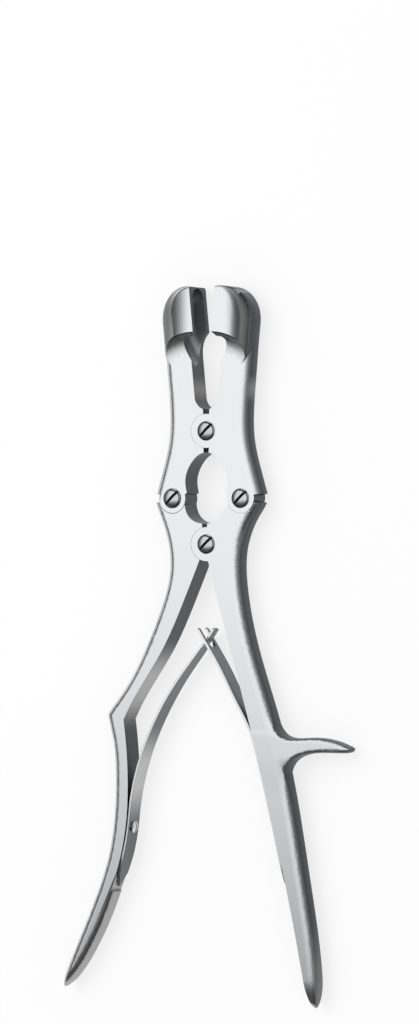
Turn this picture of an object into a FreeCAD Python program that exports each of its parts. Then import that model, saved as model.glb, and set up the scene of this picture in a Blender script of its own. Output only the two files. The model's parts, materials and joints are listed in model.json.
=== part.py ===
import FreeCAD, Part
import math
import os

from FreeCAD import Placement, Rotation, Vector

# A double action bone rongeur, lying on its back, with its jaws towards +Y.
# The lower (handle) pivot stands on the Z axis and the back faces lie on Z = 0.
# Left is -X and right is +X. Outlines are written with x growing outwards from
# the middle line, so one outline serves both sides.

doc = FreeCAD.newDocument("BoneRongeur")
sheet = doc.addObject("Spreadsheet::Sheet", "Sizes")

DRIVING_SIZES = [
    # The four pivots with the jaws open
    ("sidePivotOut", 14.3, "side pivots, out from the middle line"),
    ("sidePivotUp", 17.0, "side pivots, above the handle pivot"),
    ("jawPivotUp", 42.0, "jaw pivot, above the handle pivot"),
    ("jawOpenAngle", 5.65, "each jaw's turn from closed to open, degrees"),
    # Plates and lap joints
    ("jointThickness", 9.6, "thickness of jaws and handles at the joints"),
    ("centreBossRadius", 6.3, "half-thickness bosses on the middle line"),
    ("sideBossRadius", 5.5, "half-thickness bosses at the side pivots"),
    ("bossClearance", 0.08, "running gap round a boss"),
    ("openPivotClearance", 0.2, "gap round the boss of the left side pivot"),
    ("lapClearance", 0.08, "gap between the two halves of a lap"),
    # Pivot screws
    ("screwHeadRadius", 3.6, "pivot screw head"),
    ("screwHeadSeat", 1.4, "depth of the head's seat"),
    ("screwHeadProud", 0.45, "head edge above the front face"),
    ("screwCrown", 0.9, "rise of the crowned head"),
    ("screwShankRadius", 2.3, "pivot screw shank"),
    ("screwClearance", 0.06, "running gap round a screw"),
    ("threadClearance", 0.02, "gap where a screw is fast"),
    ("screwSlotWidth", 1.1, "driver slot"),
    ("screwSlotDepth", 1.3, "driver slot"),
    # Jaws, measured from the jaw pivot with the jaws closed
    ("closedRimGap", 0.1, "gap between the rims when closed"),
    ("heelReach", 37.0, "lower end of the rim"),
    ("biteHeight", 17.15, "top of the cup above the lower end of the rim"),
    ("cupDepth", 13.3, "cup from its back to its near rim"),
    ("cupWallRadius", 12.45, "round top of the cup in front view"),
    ("cupOut", 15.45, "outside of the cup"),
    ("shaftOut", 15.9, "outside of the shaft"),
    ("shaftIn", 3.6, "inside of the shaft"),
    ("jawSlotTop", 0.6, "slot wall above the jaw pivot"),
    ("jawSlotBottom", 1.8, "slot wall below the jaw pivot"),
    ("edgeRound", 4.2, "rounded outer edges of the jaws"),
    ("rimRound", 1.0, "rounding of the cup's edges at the rim"),
    ("cupNearRound", 8.0, "rounding of the cup's near outer edge at its side"),
    ("rimWall", 2.0, "side walls of the cup"),
    ("topWall", 0.8, "land at the tip of the cup"),
    ("scoopDepth", 9.0, "deepest point of the hollow below the rim"),
    ("scoopRound", 4.4, "rounding along the hollow's floor"),
    ("heelSweep", 22.0, "radius of the near wall's lower edge"),
    ("heelRamp", 7.0, "length of the concave step to the shaft"),
    ("headTail", 11.5, "the cup's block below the rim's lower end"),
    # Handles, measured from the handle pivot
    ("handleEndThickness", 8.4, "thickness at the end of the grips"),
    ("handleRound", 3.6, "rounded outer edges of the handles"),
    ("noseRound", 3.4, "rounding of the grips' ends in side view"),
    ("leftReach", 168.2, "left handle below the pivot"),
    ("leftTipOut", 61.8, "end of the left grip, out from the middle line"),
    ("rightReach", 170.2, "right handle below the pivot"),
    ("rightTipOut", 42.9, "end of the right grip, out from the middle line"),
    ("leftCornerOut", 22.6, "left handle's outer corner at its side pivot"),
    ("rightCornerOut", 21.9, "right handle's outer corner at its side pivot"),
    ("kneeOut", 43.2, "outside of the left handle's knee"),
    ("kneeDown", 64.0, "the knee below the pivot"),
    ("gripWidth", 6.5, "left grip from its outside to the leaf's seat"),
    ("barRound", 2.6, "rounded inner edges of the left grip below its seat"),
    ("spurOut", 58.0, "end of the finger spur"),
    ("spurDown", 73.6, "middle of the spur below the pivot"),
    ("spurHeight", 5.2, "spur, along the handle"),
    ("spurDepth", 7.0, "spur, from back to front"),
    ("spurRound", 1.6, "rounded edges of the spur"),
    # Leaf springs
    ("leafThickness", 0.9, "leaf springs"),
    ("leafWidth", 8.0, "leaf springs, back to front"),
    ("leafSeatGap", 0.05, "gap between a leaf's foot and the handle"),
    ("tongueWidth", 4.0, "tongue of the left leaf"),
    ("forkGap", 4.7, "slot between the prongs of the right leaf"),
    ("leafTipDown", 31.4, "upper ends of the leaves below the pivot"),
    ("leftFootDown", 101.0, "where the left leaf lies on its seat, below the pivot"),
    ("rightFootDown", 77.0, "where the right leaf lies on its seat, below the pivot"),
    ("footEnd", 129.0, "lower ends of the leaves below the pivot"),
    ("springScrewDown", 106.3, "spring screws below the pivot"),
    ("springHeadRadius", 2.2, "spring screw head"),
    ("springHeadHeight", 1.1, "spring screw head"),
    ("springShankRadius", 1.2, "spring screw shank"),
    ("springShankLength", 4.2, "spring screw, below its head"),
    ("springSlotWidth", 0.7, "driver slot of a spring screw"),
    ("springSlotDepth", 0.5, "driver slot of a spring screw"),
]

for row, (alias, value, note) in enumerate(DRIVING_SIZES, start=1):
    sheet.set(f"A{row}", alias)
    sheet.set(f"B{row}", str(value))
    sheet.set(f"C{row}", note)
    sheet.setAlias(f"B{row}", alias)
doc.recompute()


def size(alias):
    return float(sheet.get(alias))


LEFT, RIGHT = -1, 1
thickness = size("jointThickness")
leafMiddle = (thickness + size("handleEndThickness")) / 4
centreRadius = size("centreBossRadius")
sideRadius = size("sideBossRadius")


# Small helpers

def spot(side, x, y):
    return Vector(side * x, y, 0)


def bowed(side, start, end, shares):
    # Spots beside the straight line from start to end, as shares of its length
    runX, runY = end[0] - start[0], end[1] - start[1]
    return [spot(side, start[0] + runX * along - runY * off, start[1] + runY * along + runX * off)
            for along, off in shares]


def line(start, end):
    return Part.LineSegment(start, end)


def arc(start, middle, end):
    return Part.Arc(start, middle, end)


def loop(points):
    return [line(a, b) for a, b in zip(points, points[1:] + points[:1])]


def spline(points, startTangent=None, endTangent=None):
    curve = Part.BSplineCurve()
    if startTangent is None:
        curve.interpolate(points)
    else:
        curve.interpolate(Points=points, InitialTangent=startTangent.normalize(),
                          FinalTangent=endTangent.normalize(), Scale=False)
    return curve


def onCircle(side, centre, radius, degrees):
    turn = math.radians(degrees)
    return spot(side, centre[0] + radius * math.cos(turn), centre[1] + radius * math.sin(turn))


def newBody(name):
    return doc.addObject("PartDesign::Body", name)


def originPlane(body, role):
    return next(item for item in body.Origin.OriginFeatures if item.Role == role)


def drawSketch(body, name, role, curves, height=None):
    sketch = body.newObject("Sketcher::SketchObject", name)
    sketch.AttachmentSupport = [(originPlane(body, role), "")]
    sketch.MapMode = "FlatFace"
    if height is not None:
        sketch.setExpression("AttachmentOffset.Base.z", height)
    for curve in curves:
        sketch.addGeometry(curve, False)
    return sketch


def addPad(body, sketch, name, length, bothWays=False):
    feature = body.newObject("PartDesign::Pad", name)
    feature.Profile = sketch
    feature.setExpression("Length", length)
    feature.Midplane = bothWays
    doc.recompute()
    return feature


def addPocket(body, sketch, name):
    before = body.Shape.Volume
    feature = body.newObject("PartDesign::Pocket", name)
    feature.Profile = sketch
    feature.Type = "ThroughAll"
    feature.Midplane = True
    doc.recompute()
    if body.Shape.Volume > before - 0.01:
        raise RuntimeError(name + " cuts nothing")
    return feature


def addTurned(kind, body, sketch, name):
    feature = body.newObject(kind, name)
    feature.Profile = sketch
    feature.ReferenceAxis = (sketch, ["V_Axis"])
    feature.Angle = 360
    doc.recompute()
    return feature


def nearestEdge(shape, point):
    vertex = Part.Vertex(point)
    gaps = [edge.distToShape(vertex)[0] for edge in shape.Edges]
    return gaps.index(min(gaps)) + 1


def roundEdges(base, name, rounds):
    # Each round is a point on the edge with the radius there and at the far end
    feature = doc.addObject("Part::Fillet", name)
    feature.Base = base
    chosen = []
    for point, nearPoint, nearRadius, farRadius in rounds:
        number = nearestEdge(base.Shape, point)
        edge = base.Shape.Edges[number - 1]
        first = edge.valueAt(edge.FirstParameter)
        last = edge.valueAt(edge.LastParameter)
        if first.distanceToPoint(nearPoint) <= last.distanceToPoint(nearPoint):
            chosen.append((number, nearRadius, farRadius))
        else:
            chosen.append((number, farRadius, nearRadius))
    feature.Edges = chosen
    doc.recompute()
    return feature


def addCylinder(name, radius, height, centre, bottom):
    feature = doc.addObject("Part::Cylinder", name)
    feature.setExpression("Radius", radius)
    feature.setExpression("Height", height)
    feature.setExpression("Placement.Base.x", centre[0])
    feature.setExpression("Placement.Base.y", centre[1])
    feature.setExpression("Placement.Base.z", bottom)
    return feature


def fuse(name, shapes):
    feature = doc.addObject("Part::MultiFuse", name)
    feature.Shapes = shapes
    feature.Refine = True
    doc.recompute()
    return feature


def cut(label, base, tools):
    feature = doc.addObject("Part::Cut", label)
    feature.Base = base
    feature.Tool = tools[0] if len(tools) == 1 else fuse(label + "Cutters", tools)
    feature.Label = label
    feature.Refine = True
    doc.recompute()
    if feature.Shape.Volume > base.Shape.Volume - 0.01:
        raise RuntimeError(label + " cuts nothing")
    return feature


def lapCutters(name, centre, bossRadius, clearance, isFront):
    # What a member loses at a pivot: half its thickness round the other boss,
    # the bore, and the seat of the screw's head in the front member
    halfGap = "Sizes.lapClearance / 2"
    middle = "Sizes.jointThickness / 2"
    recess = f"Sizes.{bossRadius} + Sizes.{clearance}"
    if isFront:
        running = f"Sizes.{clearance} - Sizes.bossClearance + Sizes.screwClearance"
        return [
            addCylinder(name + "Recess", recess, f"{middle} + {halfGap} + 1", centre, "-1"),
            addCylinder(name + "Bore", f"Sizes.screwShankRadius + {running}",
                        "Sizes.jointThickness + 2", centre, "-1"),
            addCylinder(name + "HeadSeat", f"Sizes.screwHeadRadius + {running}",
                        "Sizes.screwHeadSeat + 1 + Sizes.lapClearance", centre,
                        "Sizes.jointThickness - Sizes.screwHeadSeat - Sizes.lapClearance"),
        ]
    return [
        addCylinder(name + "Recess", recess, "Sizes.jointThickness", centre, f"{middle} - {halfGap}"),
        addCylinder(name + "Bore", "Sizes.screwShankRadius + Sizes.threadClearance",
                    "Sizes.jointThickness + 2", centre, "-1"),
    ]


# Pivots in each jaw's own frame, which has the jaw pivot at its origin and the
# jaw turned closed

openAngle = math.radians(size("jawOpenAngle"))
armOut = size("sidePivotOut")
armDown = size("jawPivotUp") - size("sidePivotUp")
jawArm = (armOut * math.cos(openAngle) + armDown * math.sin(openAngle),
          armOut * math.sin(openAngle) - armDown * math.cos(openAngle))
JAW_ARM_OUT = ("(Sizes.sidePivotOut * cos(Sizes.jawOpenAngle * 1 deg)"
               " + (Sizes.jawPivotUp - Sizes.sidePivotUp) * sin(Sizes.jawOpenAngle * 1 deg))")
JAW_ARM_UP = ("(Sizes.sidePivotOut * sin(Sizes.jawOpenAngle * 1 deg)"
              " - (Sizes.jawPivotUp - Sizes.sidePivotUp) * cos(Sizes.jawOpenAngle * 1 deg))")


rim = size("closedRimGap") / 2
heel = size("heelReach")
cupOut, shaftIn, shaftOut = size("cupOut"), size("shaftIn"), size("shaftOut")
domeRadius = size("cupWallRadius")
domeX, domeY = cupOut - domeRadius, heel + size("biteHeight") - domeRadius
tipY = domeY + math.sqrt(domeRadius ** 2 - (domeX - rim) ** 2)


def jawOutline(side):
    slotTop, slotBottom = size("jawSlotTop"), size("jawSlotBottom")
    armX, armY = jawArm
    slotStart = spot(side, slotTop, math.sqrt(centreRadius ** 2 - slotTop ** 2))
    slotEnd = spot(side, slotBottom, -math.sqrt(centreRadius ** 2 - slotBottom ** 2))
    slotMouth = spot(side, slotTop, centreRadius + 2.0)
    shaftLow = spot(side, shaftIn, centreRadius + 6.2)
    shaftHigh = spot(side, shaftIn, heel - 9.5)
    heelPoint = spot(side, rim, heel)
    flankTop, flankLow = spot(side, cupOut, heel - 0.8), spot(side, cupOut, heel - 2.8)
    outerCorner = spot(side, armX + 7.9, armY + 2.5)
    outerNotch = onCircle(side, jawArm, sideRadius, 20)
    innerNotch = onCircle(side, jawArm, sideRadius, 170)
    innerCorner = spot(side, armX - sideRadius - 0.8, armY + 1.4)
    ovalTop = spot(side, slotBottom, -centreRadius - 1.6)
    up, down = Vector(0, 1, 0), Vector(0, -1, 0)
    return [
        line(slotStart, slotMouth),
        spline([slotMouth, spot(side, slotTop + 2.0, centreRadius + 3.6), shaftLow],
               Vector(side, 0.2, 0), up),
        line(shaftLow, shaftHigh),
        spline([shaftHigh, spot(side, shaftIn - 0.5, heel - 4.6), heelPoint],
               up, Vector(-side * 0.8, 0.6, 0)),
        line(heelPoint, flankTop), line(flankTop, flankLow),
        spline([flankLow, spot(side, (cupOut + shaftOut) / 2 - 0.1, heel - 10), spot(side, shaftOut, 10),
                spot(side, shaftOut + 1.7, -2.5), spot(side, armX + 4.3, armY + 11.4), outerCorner],
               down, Vector(side * 0.38, -0.92, 0)),
        line(outerCorner, outerNotch),
        arc(outerNotch, onCircle(side, jawArm, sideRadius, 270), innerNotch),
        line(innerNotch, innerCorner),
        spline([innerCorner, spot(side, armX - 6.1, armY + 5.8), spot(side, armX - 8.4, armY + 11.2),
                ovalTop],
               Vector(side * 0.1, 1, 0), Vector(-side, 0.1, 0)),
        line(ovalTop, slotEnd),
        arc(slotEnd, spot(side, -centreRadius, 0), slotStart),
    ]


def addHeadBlock(side, name):
    # The deeper block that holds the cup, rounded most at its near outer edge
    tail, inside = heel - size("headTail"), shaftIn + 1.5
    tip, shoulder = spot(side, rim, tipY), spot(side, cupOut, domeY)
    corner = onCircle(side, (domeX, domeY), domeRadius, 50)
    turns = [shoulder, spot(side, cupOut, tail), spot(side, inside, tail), spot(side, inside, heel - 5),
             spot(side, rim, heel), tip]
    body = newBody(name)
    outline = drawSketch(body, name + "Outline", "XY_Plane",
                         [arc(tip, corner, shoulder)] + [line(a, b) for a, b in zip(turns, turns[1:])])
    addPad(body, outline, name + "Pad", "Sizes.cupDepth")
    flank = spot(side, cupOut, (domeY + tail) / 2)
    front = Vector(0, 0, size("cupDepth"))
    small, edge = size("rimRound"), size("edgeRound")
    large = min(size("cupNearRound"), size("cupDepth") - edge - 0.8)
    return roundEdges(body, name + "Rounded", [
        (corner, tip, small, edge), (flank, shoulder, edge, edge),
        (corner + front, tip + front, small, large), (flank + front, shoulder + front, large, large),
    ])


def addCupHead(side, name):
    # The near wall ends in a sweep round the heel and a concave step to the shaft
    block = addHeadBlock(side, name + "Block")
    sweep, ramp, top = size("heelSweep"), size("heelRamp"), size("cupDepth")
    low = thickness - 0.6
    rampTop = Vector(sweep, top, 0)
    rampEnd = Vector(sweep - ramp * 1.9, low, 0)
    stepTurns = [rampEnd, Vector(0, low, 0), Vector(0, top + 2, 0), Vector(sweep, top + 2, 0), rampTop]
    step = newBody(name + "Step")
    ring = drawSketch(step, name + "StepRing", "XZ_Plane", [
        spline([rampTop, Vector(sweep - ramp, thickness, 0), rampEnd],
               Vector(-0.35, -1, 0), Vector(-1, -0.1, 0)),
    ] + [line(a, b) for a, b in zip(stepTurns, stepTurns[1:])])
    ring.AttachmentOffset = Placement(Vector(side * (domeX - 1.0), 0, sweep - heel), Rotation())
    addTurned("PartDesign::Revolution", step, ring, name + "StepTurned")

    # The flank runs in over the shaft's rounding, so that the step ends in a tick
    tail = heel - size("headTail")
    inward = [spot(side, cupOut + 0.3, heel - 0.4), spot(side, cupOut, heel - 1.6),
              spot(side, cupOut - 0.55, heel - 5), spot(side, cupOut - 1.65, heel - 8.4),
              spot(side, cupOut - 3.45, tail), spot(side, cupOut - 5.0, tail - 1.9)]
    trimTurns = [inward[-1], spot(side, cupOut + 4, tail - 1.9), spot(side, cupOut + 4, heel - 0.4),
                 inward[0]]
    trim = newBody(name + "Trim")
    plan = drawSketch(trim, name + "TrimPlan", "XY_Plane",
                      [spline(inward)] + [line(a, b) for a, b in zip(trimTurns, trimTurns[1:])], "-1")
    addPad(trim, plan, name + "TrimPad", "Sizes.cupDepth + 3")
    return cut(name, block, [step, trim])


def addScoop(side, name):
    # The hollow, open at the rim and running out down the inside of the shaft
    depth, land = size("scoopDepth"), size("topWall")
    topY = domeY + math.sqrt((domeRadius - land) ** 2 - domeX ** 2)
    start = spot(side, shaftIn - 0.1, heel - 12.3)
    end = spot(side, -1, topY)
    outside = spot(side, -1, heel - 12.3)
    floor = [start, spot(side, shaftIn + 2.1, heel - 8.2), spot(side, depth - 1.3, heel - 3),
             spot(side, depth, heel + 5), spot(side, depth - 1.2, topY - 3.7),
             spot(side, depth * 0.5, topY - 0.4), end]
    body = newBody(name)
    outline = drawSketch(body, name + "Outline", "XY_Plane", [
        spline(floor), line(end, outside), line(outside, start),
    ], "Sizes.rimWall")
    addPad(body, outline, name + "Pad", "Sizes.cupDepth - 2 * Sizes.rimWall")
    radius = min(size("scoopRound"), size("cupDepth") / 2 - size("rimWall") - 0.2)
    middle = floor[3]
    back, front = Vector(0, 0, size("rimWall")), Vector(0, 0, size("cupDepth") - size("rimWall"))
    return roundEdges(body, name + "Rounded", [
        (middle + back, start + back, radius, radius),
        (middle + front, start + front, radius, radius),
    ])


def makeJaw(side, label, pivotIsFront, armIsFront, armClearance):
    body = newBody(label + "Plate")
    outline = drawSketch(body, label + "Outline", "XY_Plane", jawOutline(side))
    addPad(body, outline, label + "Pad", "Sizes.jointThickness")
    edge = size("edgeRound")
    flank = spot(side, shaftOut, 10)
    front = Vector(0, 0, thickness)
    plate = roundEdges(body, label + "Edges", [
        (flank, flank, edge, edge), (flank + front, flank, edge, edge)])
    head = addCupHead(side, label + "Head")
    solid = fuse(label + "Solid", [plate, head])
    arm = (f"{side} * {JAW_ARM_OUT}", JAW_ARM_UP)
    tools = [addScoop(side, label + "Scoop")]
    tools += lapCutters(label + "Pivot", ("0", "0"), "centreBossRadius", "bossClearance", pivotIsFront)
    tools += lapCutters(label + "Arm", arm, "sideBossRadius", armClearance, armIsFront)
    jaw = cut(label, solid, tools)
    jaw.Placement = Placement(Vector(0, size("jawPivotUp"), 0), Rotation(Vector(0, 0, 1), 1))
    jaw.setExpression("Placement.Base.y", "Sizes.jawPivotUp")
    jaw.setExpression("Placement.Rotation.Angle", f"{-side} * Sizes.jawOpenAngle * 1 deg")
    return jaw


sidePivot = (size("sidePivotOut"), size("sidePivotUp"))


def handleTop(side, slotTop, slotBottom, ovalOut, cornerOut):
    # From the lower slot round the bosses to the outer corner of the side pivot
    slotStart = spot(side, slotBottom, -math.sqrt(centreRadius ** 2 - slotBottom ** 2))
    slotEnd = spot(side, slotTop, math.sqrt(centreRadius ** 2 - slotTop ** 2))
    ovalLow = spot(side, slotTop + 0.2, centreRadius + 1.3)
    innerNotch = onCircle(side, sidePivot, sideRadius, 200)
    outerNotch = onCircle(side, sidePivot, sideRadius, -18)
    return [
        arc(slotStart, spot(side, -centreRadius, 0), slotEnd),
        line(slotEnd, ovalLow),
        spline([ovalLow, spot(side, ovalOut - 2.1, centreRadius + 3.0),
                spot(side, ovalOut, centreRadius + 5.9), innerNotch],
               Vector(side, 0.1, 0), Vector(side * 0.1, 1, 0)),
        arc(innerNotch, onCircle(side, sidePivot, sideRadius, 90), outerNotch),
        line(outerNotch, spot(side, cornerOut, size("sidePivotUp") - 1.5)),
    ]


def crossing(curve, y):
    # Where an outline curve of a handle passes a height
    probe = Part.LineSegment(Vector(-120, y, 0), Vector(120, y, 0))
    return abs(curve.intersect(probe)[0].X)


def leftGripOutside():
    knee = (size("kneeOut"), -size("kneeDown"))
    end = (size("leftTipOut") + 3.2, -size("leftReach") - 2)
    points = bowed(LEFT, knee, end, [(0, 0), (0.093, -0.041), (0.22, -0.076), (0.459, -0.1), (0.652, -0.074),
                                     (0.819, -0.036), (1, 0)])
    return spline(points, Vector(0.16, -1, 0), Vector(-0.35, -1, 0))


def leftWallPoints():
    # Inner wall of the left grip, where the left leaf is seated
    outside = leftGripOutside()
    top, run = -size("kneeDown"), size("footEnd") + 1.6 - size("kneeDown")
    points = [spot(LEFT, size("kneeOut") - 8.0, top - 2)]
    for share in (0.21, 0.42, 0.67, 0.83, 1):
        y = top - share * run
        points.append(spot(LEFT, crossing(outside, y) - size("gripWidth"), y))
    return points


def rightGripOutside():
    corner = (size("rightCornerOut"), sidePivot[1] - 1.5)
    end = (size("rightTipOut") + 2.1, -size("rightReach") - 2)
    points = bowed(RIGHT, corner, end, [
        (0, 0), (0.025, -0.019), (0.086, -0.053), (0.159, -0.062), (0.291, -0.05), (0.421, -0.024),
        (0.567, -0.005), (0.731, 0.004), (0.883, 0.009), (1, 0)])
    return spline(points, Vector(-0.35, -1, 0), Vector(-0.05, -1, 0))


def rightWallPoints():
    root, end = (0.9, -centreRadius - 0.3), (size("rightTipOut") - 1.1, -size("rightReach") - 2)
    return bowed(RIGHT, root, end, [(0, 0), (0.086, 0.002), (0.198, 0.007), (0.392, 0.014), (0.598, 0.016),
                                    (0.86, 0.009), (1, 0)])


def addNose(name, side, tipX, reach, outward, inward):
    # What the end of a grip loses in plan view and in side view
    tip = spot(side, tipX, -reach)
    start = spot(side, tipX + outward[0], -reach + outward[1])
    end = spot(side, tipX - inward[0], -reach + inward[1])
    turns = [end, spot(side, tipX - 7, -reach + inward[1]), spot(side, tipX - 7, -reach - 6),
             spot(side, tipX + 9, -reach - 6), spot(side, tipX + 9, -reach + outward[1]), start]
    planTool = newBody(name + "Plan")
    sketch = drawSketch(planTool, name + "PlanEdge", "XY_Plane",
                        [arc(start, tip, end)] + [line(a, b) for a, b in zip(turns, turns[1:])], "-1")
    addPad(planTool, sketch, name + "PlanPad", "Sizes.jointThickness + 2")

    top, radius = size("handleEndThickness"), size("noseRound")
    diagonal = radius * (1 - math.sqrt(0.5))
    turns = [Vector(-reach + radius + 0.5, top + 0.1, 0), Vector(-reach + radius + 0.5, top + 4, 0),
             Vector(-reach - 6, top + 4, 0), Vector(-reach - 6, -4, 0), Vector(-reach + radius + 0.5, -4, 0),
             Vector(-reach + radius + 0.5, -0.1, 0)]
    sideTool = newBody(name + "Side")
    backEnd, frontEnd = Vector(-reach - 0.02, radius, 0), Vector(-reach - 0.02, top - radius, 0)
    sketch = drawSketch(sideTool, name + "SideEdge", "YZ_Plane", [
        arc(frontEnd, Vector(-reach + diagonal, top - diagonal, 0), turns[0]),
        arc(turns[-1], Vector(-reach + diagonal, diagonal, 0), backEnd), line(backEnd, frontEnd),
    ] + [line(a, b) for a, b in zip(turns, turns[1:])])
    addPad(sideTool, sketch, name + "SidePad", "200", True)
    return [planTool, sideTool]


def addTaper(body, label, end):
    # The front face falls gently from the joint to the end of the grip
    start = -centreRadius - 6.0
    drop = thickness - size("handleEndThickness")
    middle = Vector((start + end) / 2, thickness - drop / 4, 0)
    last = Vector(end, thickness - drop, 0)
    above = thickness + 5
    corners = [last, Vector(end, above, 0), Vector(start, above, 0), Vector(start, thickness, 0)]
    edges = [line(a, b) for a, b in zip(corners, corners[1:])]
    edges.append(arc(corners[-1], middle, last))
    sketch = drawSketch(body, label + "Taper", "YZ_Plane", edges)
    addPocket(body, sketch, label + "TaperCut")


def frontAt(y, reach):
    start = -centreRadius - 6.0
    share = min(1, max(0, (y - start) / (-reach - 2 - start)))
    return thickness - share ** 2 * (thickness - size("handleEndThickness"))


def springSeat(points, side):
    # Point and inward direction of the wall where the spring screw stands
    wall = spline(points)
    height = -size("springScrewDown")
    probe = Part.LineSegment(Vector(-80, height, 0), Vector(80, height, 0))
    hit = wall.intersect(probe)[0]
    place = Vector(hit.X, hit.Y, 0)
    tangent = wall.tangent(wall.parameter(place))[0]
    inward = Vector(tangent.y, -tangent.x, 0).normalize()
    if inward.x * side > 0:
        inward = inward * -1
    return place, inward


def addScrewHole(name, points, side):
    place, inward = springSeat(points, side)
    hole = doc.addObject("Part::Cylinder", name)
    hole.setExpression("Radius", "Sizes.springShankRadius + Sizes.threadClearance")
    hole.setExpression("Height", "Sizes.springShankLength + 2")
    hole.Placement = Placement(place + inward * 1 + Vector(0, 0, leafMiddle),
                               Rotation(Vector(0, 0, 1), -inward))
    return hole


def addBarRounding(name):
    # What the left grip loses below its flat seat, where its inner edges are round
    seatEnd = leftWallPoints()[-1]
    end = (size("leftTipOut"), -size("leftReach"))
    edge = bowed(LEFT, (-seatEnd.x, seatEnd.y), end, [
        (-0.524, 0.045), (-0.254, 0.002), (-0.008, -0.025), (0.204, -0.05), (0.485, -0.061), (0.788, -0.042),
        (0.937, -0.008), (1.04, 0.03)])
    high, low = edge[0], edge[-1]
    bar = newBody(name + "Bar")
    turns = [low, low + Vector(-16, 0, 0), high + Vector(-22, 0, 0), high]
    sketch = drawSketch(bar, name + "BarPlan", "XY_Plane",
                        [spline(edge)] + [line(a, b) for a, b in zip(turns, turns[1:])])
    addPad(bar, sketch, name + "BarPad", "Sizes.jointThickness")
    addTaper(bar, name, -size("leftReach") - 2)
    radius, middle = size("barRound"), edge[3]
    front = Vector(0, 0, frontAt(middle.y, size("leftReach")))
    rounded = roundEdges(bar, name + "Rounded", [
        (middle, high, radius, radius), (middle + front, high + front, radius, radius)])
    room = newBody(name + "Room")
    turns = [high + Vector(5, -2, 0), high + Vector(-1, -2, 0), edge[3] + Vector(-2.4, 0, 0),
             low + Vector(-3, 0.3, 0), low + Vector(16, 0.3, 0), edge[3] + Vector(6, 0, 0)]
    sketch = drawSketch(room, name + "RoomPlan", "XY_Plane", loop(turns), "-1")
    addPad(room, sketch, name + "RoomPad", "Sizes.jointThickness + 2")
    return cut(name, room, [rounded])


def makeLeftHandle(label):
    kneeOut, kneeDown, reach = size("kneeOut"), size("kneeDown"), size("leftReach")
    cornerPlan = (size("leftCornerOut"), sidePivot[1] - 1.5)
    knee = spot(LEFT, kneeOut, -kneeDown)
    outside, wall = leftGripOutside(), leftWallPoints()
    end = spot(LEFT, size("leftTipOut") + 3.2, -reach - 2)
    endInner = end + Vector(8, 0, 0)
    seatStep = wall[-1] + Vector(2.2, -0.9, 0)
    upper = bowed(LEFT, cornerPlan, (kneeOut, -kneeDown), [
        (0, 0), (0.076, -0.055), (0.189, -0.122), (0.286, -0.15), (0.475, -0.146), (0.699, -0.107),
        (0.828, -0.071), (1, 0)])
    crotch = (2.7, -math.sqrt(centreRadius ** 2 - 2.7 ** 2))
    inner = bowed(LEFT, crotch, (-wall[0].x, wall[0].y), [
        (0, 0), (0.24, -0.02), (0.551, -0.03), (0.889, 0), (1, 0)])
    body = newBody(label + "Forging")
    outline = handleTop(LEFT, 1.6, 2.7, 8.5, cornerPlan[0]) + [
        spline(upper, Vector(0.35, -1, 0), Vector(-0.61, -0.79, 0)),
        outside, line(end, endInner), line(endInner, seatStep), line(seatStep, wall[-1]),
        spline(wall[::-1]), spline(inner[::-1]),
    ]
    sketch = drawSketch(body, label + "Outline", "XY_Plane", outline)
    addPad(body, sketch, label + "Pad", "Sizes.jointThickness")
    addTaper(body, label, -reach - 2)
    big, rounds = size("handleRound"), []
    for height in (0, 1):
        for point in (upper[4], outside.value((outside.FirstParameter + outside.LastParameter) / 2)):
            level = Vector(0, 0, height * frontAt(point.y, reach))
            rounds.append((point + level, knee + level, big, big))
    forging = roundEdges(body, label + "Edges", rounds)
    tools = lapCutters(label + "Centre", ("0", "0"), "centreBossRadius", "bossClearance", False)
    tools += lapCutters(label + "Side", ("-Sizes.sidePivotOut", "Sizes.sidePivotUp"),
                        "sideBossRadius", "openPivotClearance", False)
    tools.append(addScrewHole(label + "SpringHole", wall, LEFT))
    solid = cut(label + "Drilled", forging, tools)
    bar = cut(label + "Barred", solid, [addBarRounding(label + "BarRounding")])
    nose = addNose(label + "Nose", LEFT, size("leftTipOut"), reach, (1.5, 4.0), (2.1, 2.6))
    return cut(label, bar, nose)


def makeRightHandle(label):
    reach = size("rightReach")
    outside, wall = rightGripOutside(), rightWallPoints()
    end = spot(RIGHT, size("rightTipOut") + 2.1, -reach - 2)
    body = newBody(label + "Forging")
    outline = handleTop(RIGHT, 0.3, 0.5, 6.8, size("rightCornerOut")) + [
        outside, line(end, wall[-1]), spline(wall[::-1]),
        line(wall[0], spot(RIGHT, 0.5, -math.sqrt(centreRadius ** 2 - 0.5 ** 2))),
    ]
    sketch = drawSketch(body, label + "Outline", "XY_Plane", outline)
    addPad(body, sketch, label + "Pad", "Sizes.jointThickness")
    addTaper(body, label, -reach - 2)
    big, rounds = size("handleRound"), []
    middle = outside.value((outside.FirstParameter + outside.LastParameter) / 2)
    for height in (0, 1):
        level = middle + Vector(0, 0, height * frontAt(middle.y, reach))
        rounds.append((level, level, big, big))
    forging = roundEdges(body, label + "Edges", rounds)
    spur = addSpur(label + "Spur", outside)
    solid = fuse(label + "Solid", [forging, spur])
    tools = lapCutters(label + "Centre", ("0", "0"), "centreBossRadius", "bossClearance", True)
    tools += lapCutters(label + "Side", ("Sizes.sidePivotOut", "Sizes.sidePivotUp"),
                        "sideBossRadius", "bossClearance", False)
    tools.append(addScrewHole(label + "SpringHole", wall, RIGHT))
    drilled = cut(label + "Drilled", solid, tools)
    nose = addNose(label + "Nose", RIGHT, size("rightTipOut"), reach, (2.0, 3.7), (1.8, 3.0))
    return cut(label, drilled, nose)


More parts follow.
